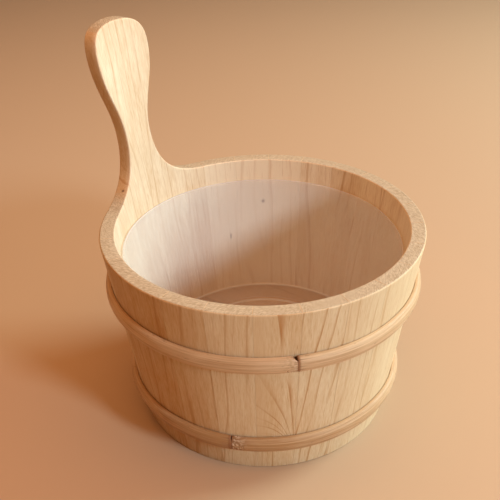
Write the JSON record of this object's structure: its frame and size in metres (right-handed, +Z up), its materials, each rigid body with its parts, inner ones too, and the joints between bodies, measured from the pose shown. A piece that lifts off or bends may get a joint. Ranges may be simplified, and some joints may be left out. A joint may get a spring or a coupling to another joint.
{
  "type": "sauna bucket",
  "caption": "Round tapered wooden water bucket of staves with an upright paddle-shaped handle on one side, rattan hoops and a lift-out milky plastic liner.",
  "frame": {"origin": "on the floor under the middle of the whole outline, handle included, so the bucket's own axis is 9.5 mm from it towards -Y", "axes": "+Z up, along the bucket's axis; +Y from the bucket's axis towards the handle; +X to the right, seen from the side opposite the handle"},
  "size_m": [0.2494, 0.2686, 0.2955],
  "materials": {
    "stave_wood": "smooth sanded pale wood, satin",
    "bottom_wood": "planed pale wood, matte",
    "rattan": "half-round rattan with fine long streaks, satin",
    "pin_steel": "dull",
    "liner_plastic": "milky, see-through"
  },
  "bodies": {
    "bucket": {"handle_stave_left": "stave_wood", "handle_stave_right": "stave_wood", "shoulder_stave_left": "stave_wood", "shoulder_stave_right": "stave_wood", "stave_01": "stave_wood", "stave_02": "stave_wood", "stave_03": "stave_wood", "stave_04": "stave_wood", "stave_05": "stave_wood", "stave_06": "stave_wood", "stave_07": "stave_wood", "stave_08": "stave_wood", "stave_09": "stave_wood", "stave_10": "stave_wood", "stave_11": "stave_wood", "stave_12": "stave_wood", "stave_13": "stave_wood", "stave_14": "stave_wood", "stave_15": "stave_wood", "stave_16": "stave_wood", "stave_17": "stave_wood", "stave_18": "stave_wood", "stave_19": "stave_wood", "stave_20": "stave_wood", "bottom_board_left": "bottom_wood", "bottom_board_middle": "bottom_wood", "bottom_board_right": "bottom_wood", "upper_hoop": "rattan", "lower_hoop": "rattan", "upper_hoop_pin_left": "pin_steel", "upper_hoop_pin_right": "pin_steel", "lower_hoop_pin_left": "pin_steel", "lower_hoop_pin_right": "pin_steel"},
    "liner": {"liner": "liner_plastic"}
  },
  "joints": [
    {"name": "liner_lift", "type": "slide", "parent": "bucket", "child": "liner", "axis": [0, 0, 1], "range_m": [0, 0.15]}
  ]
}
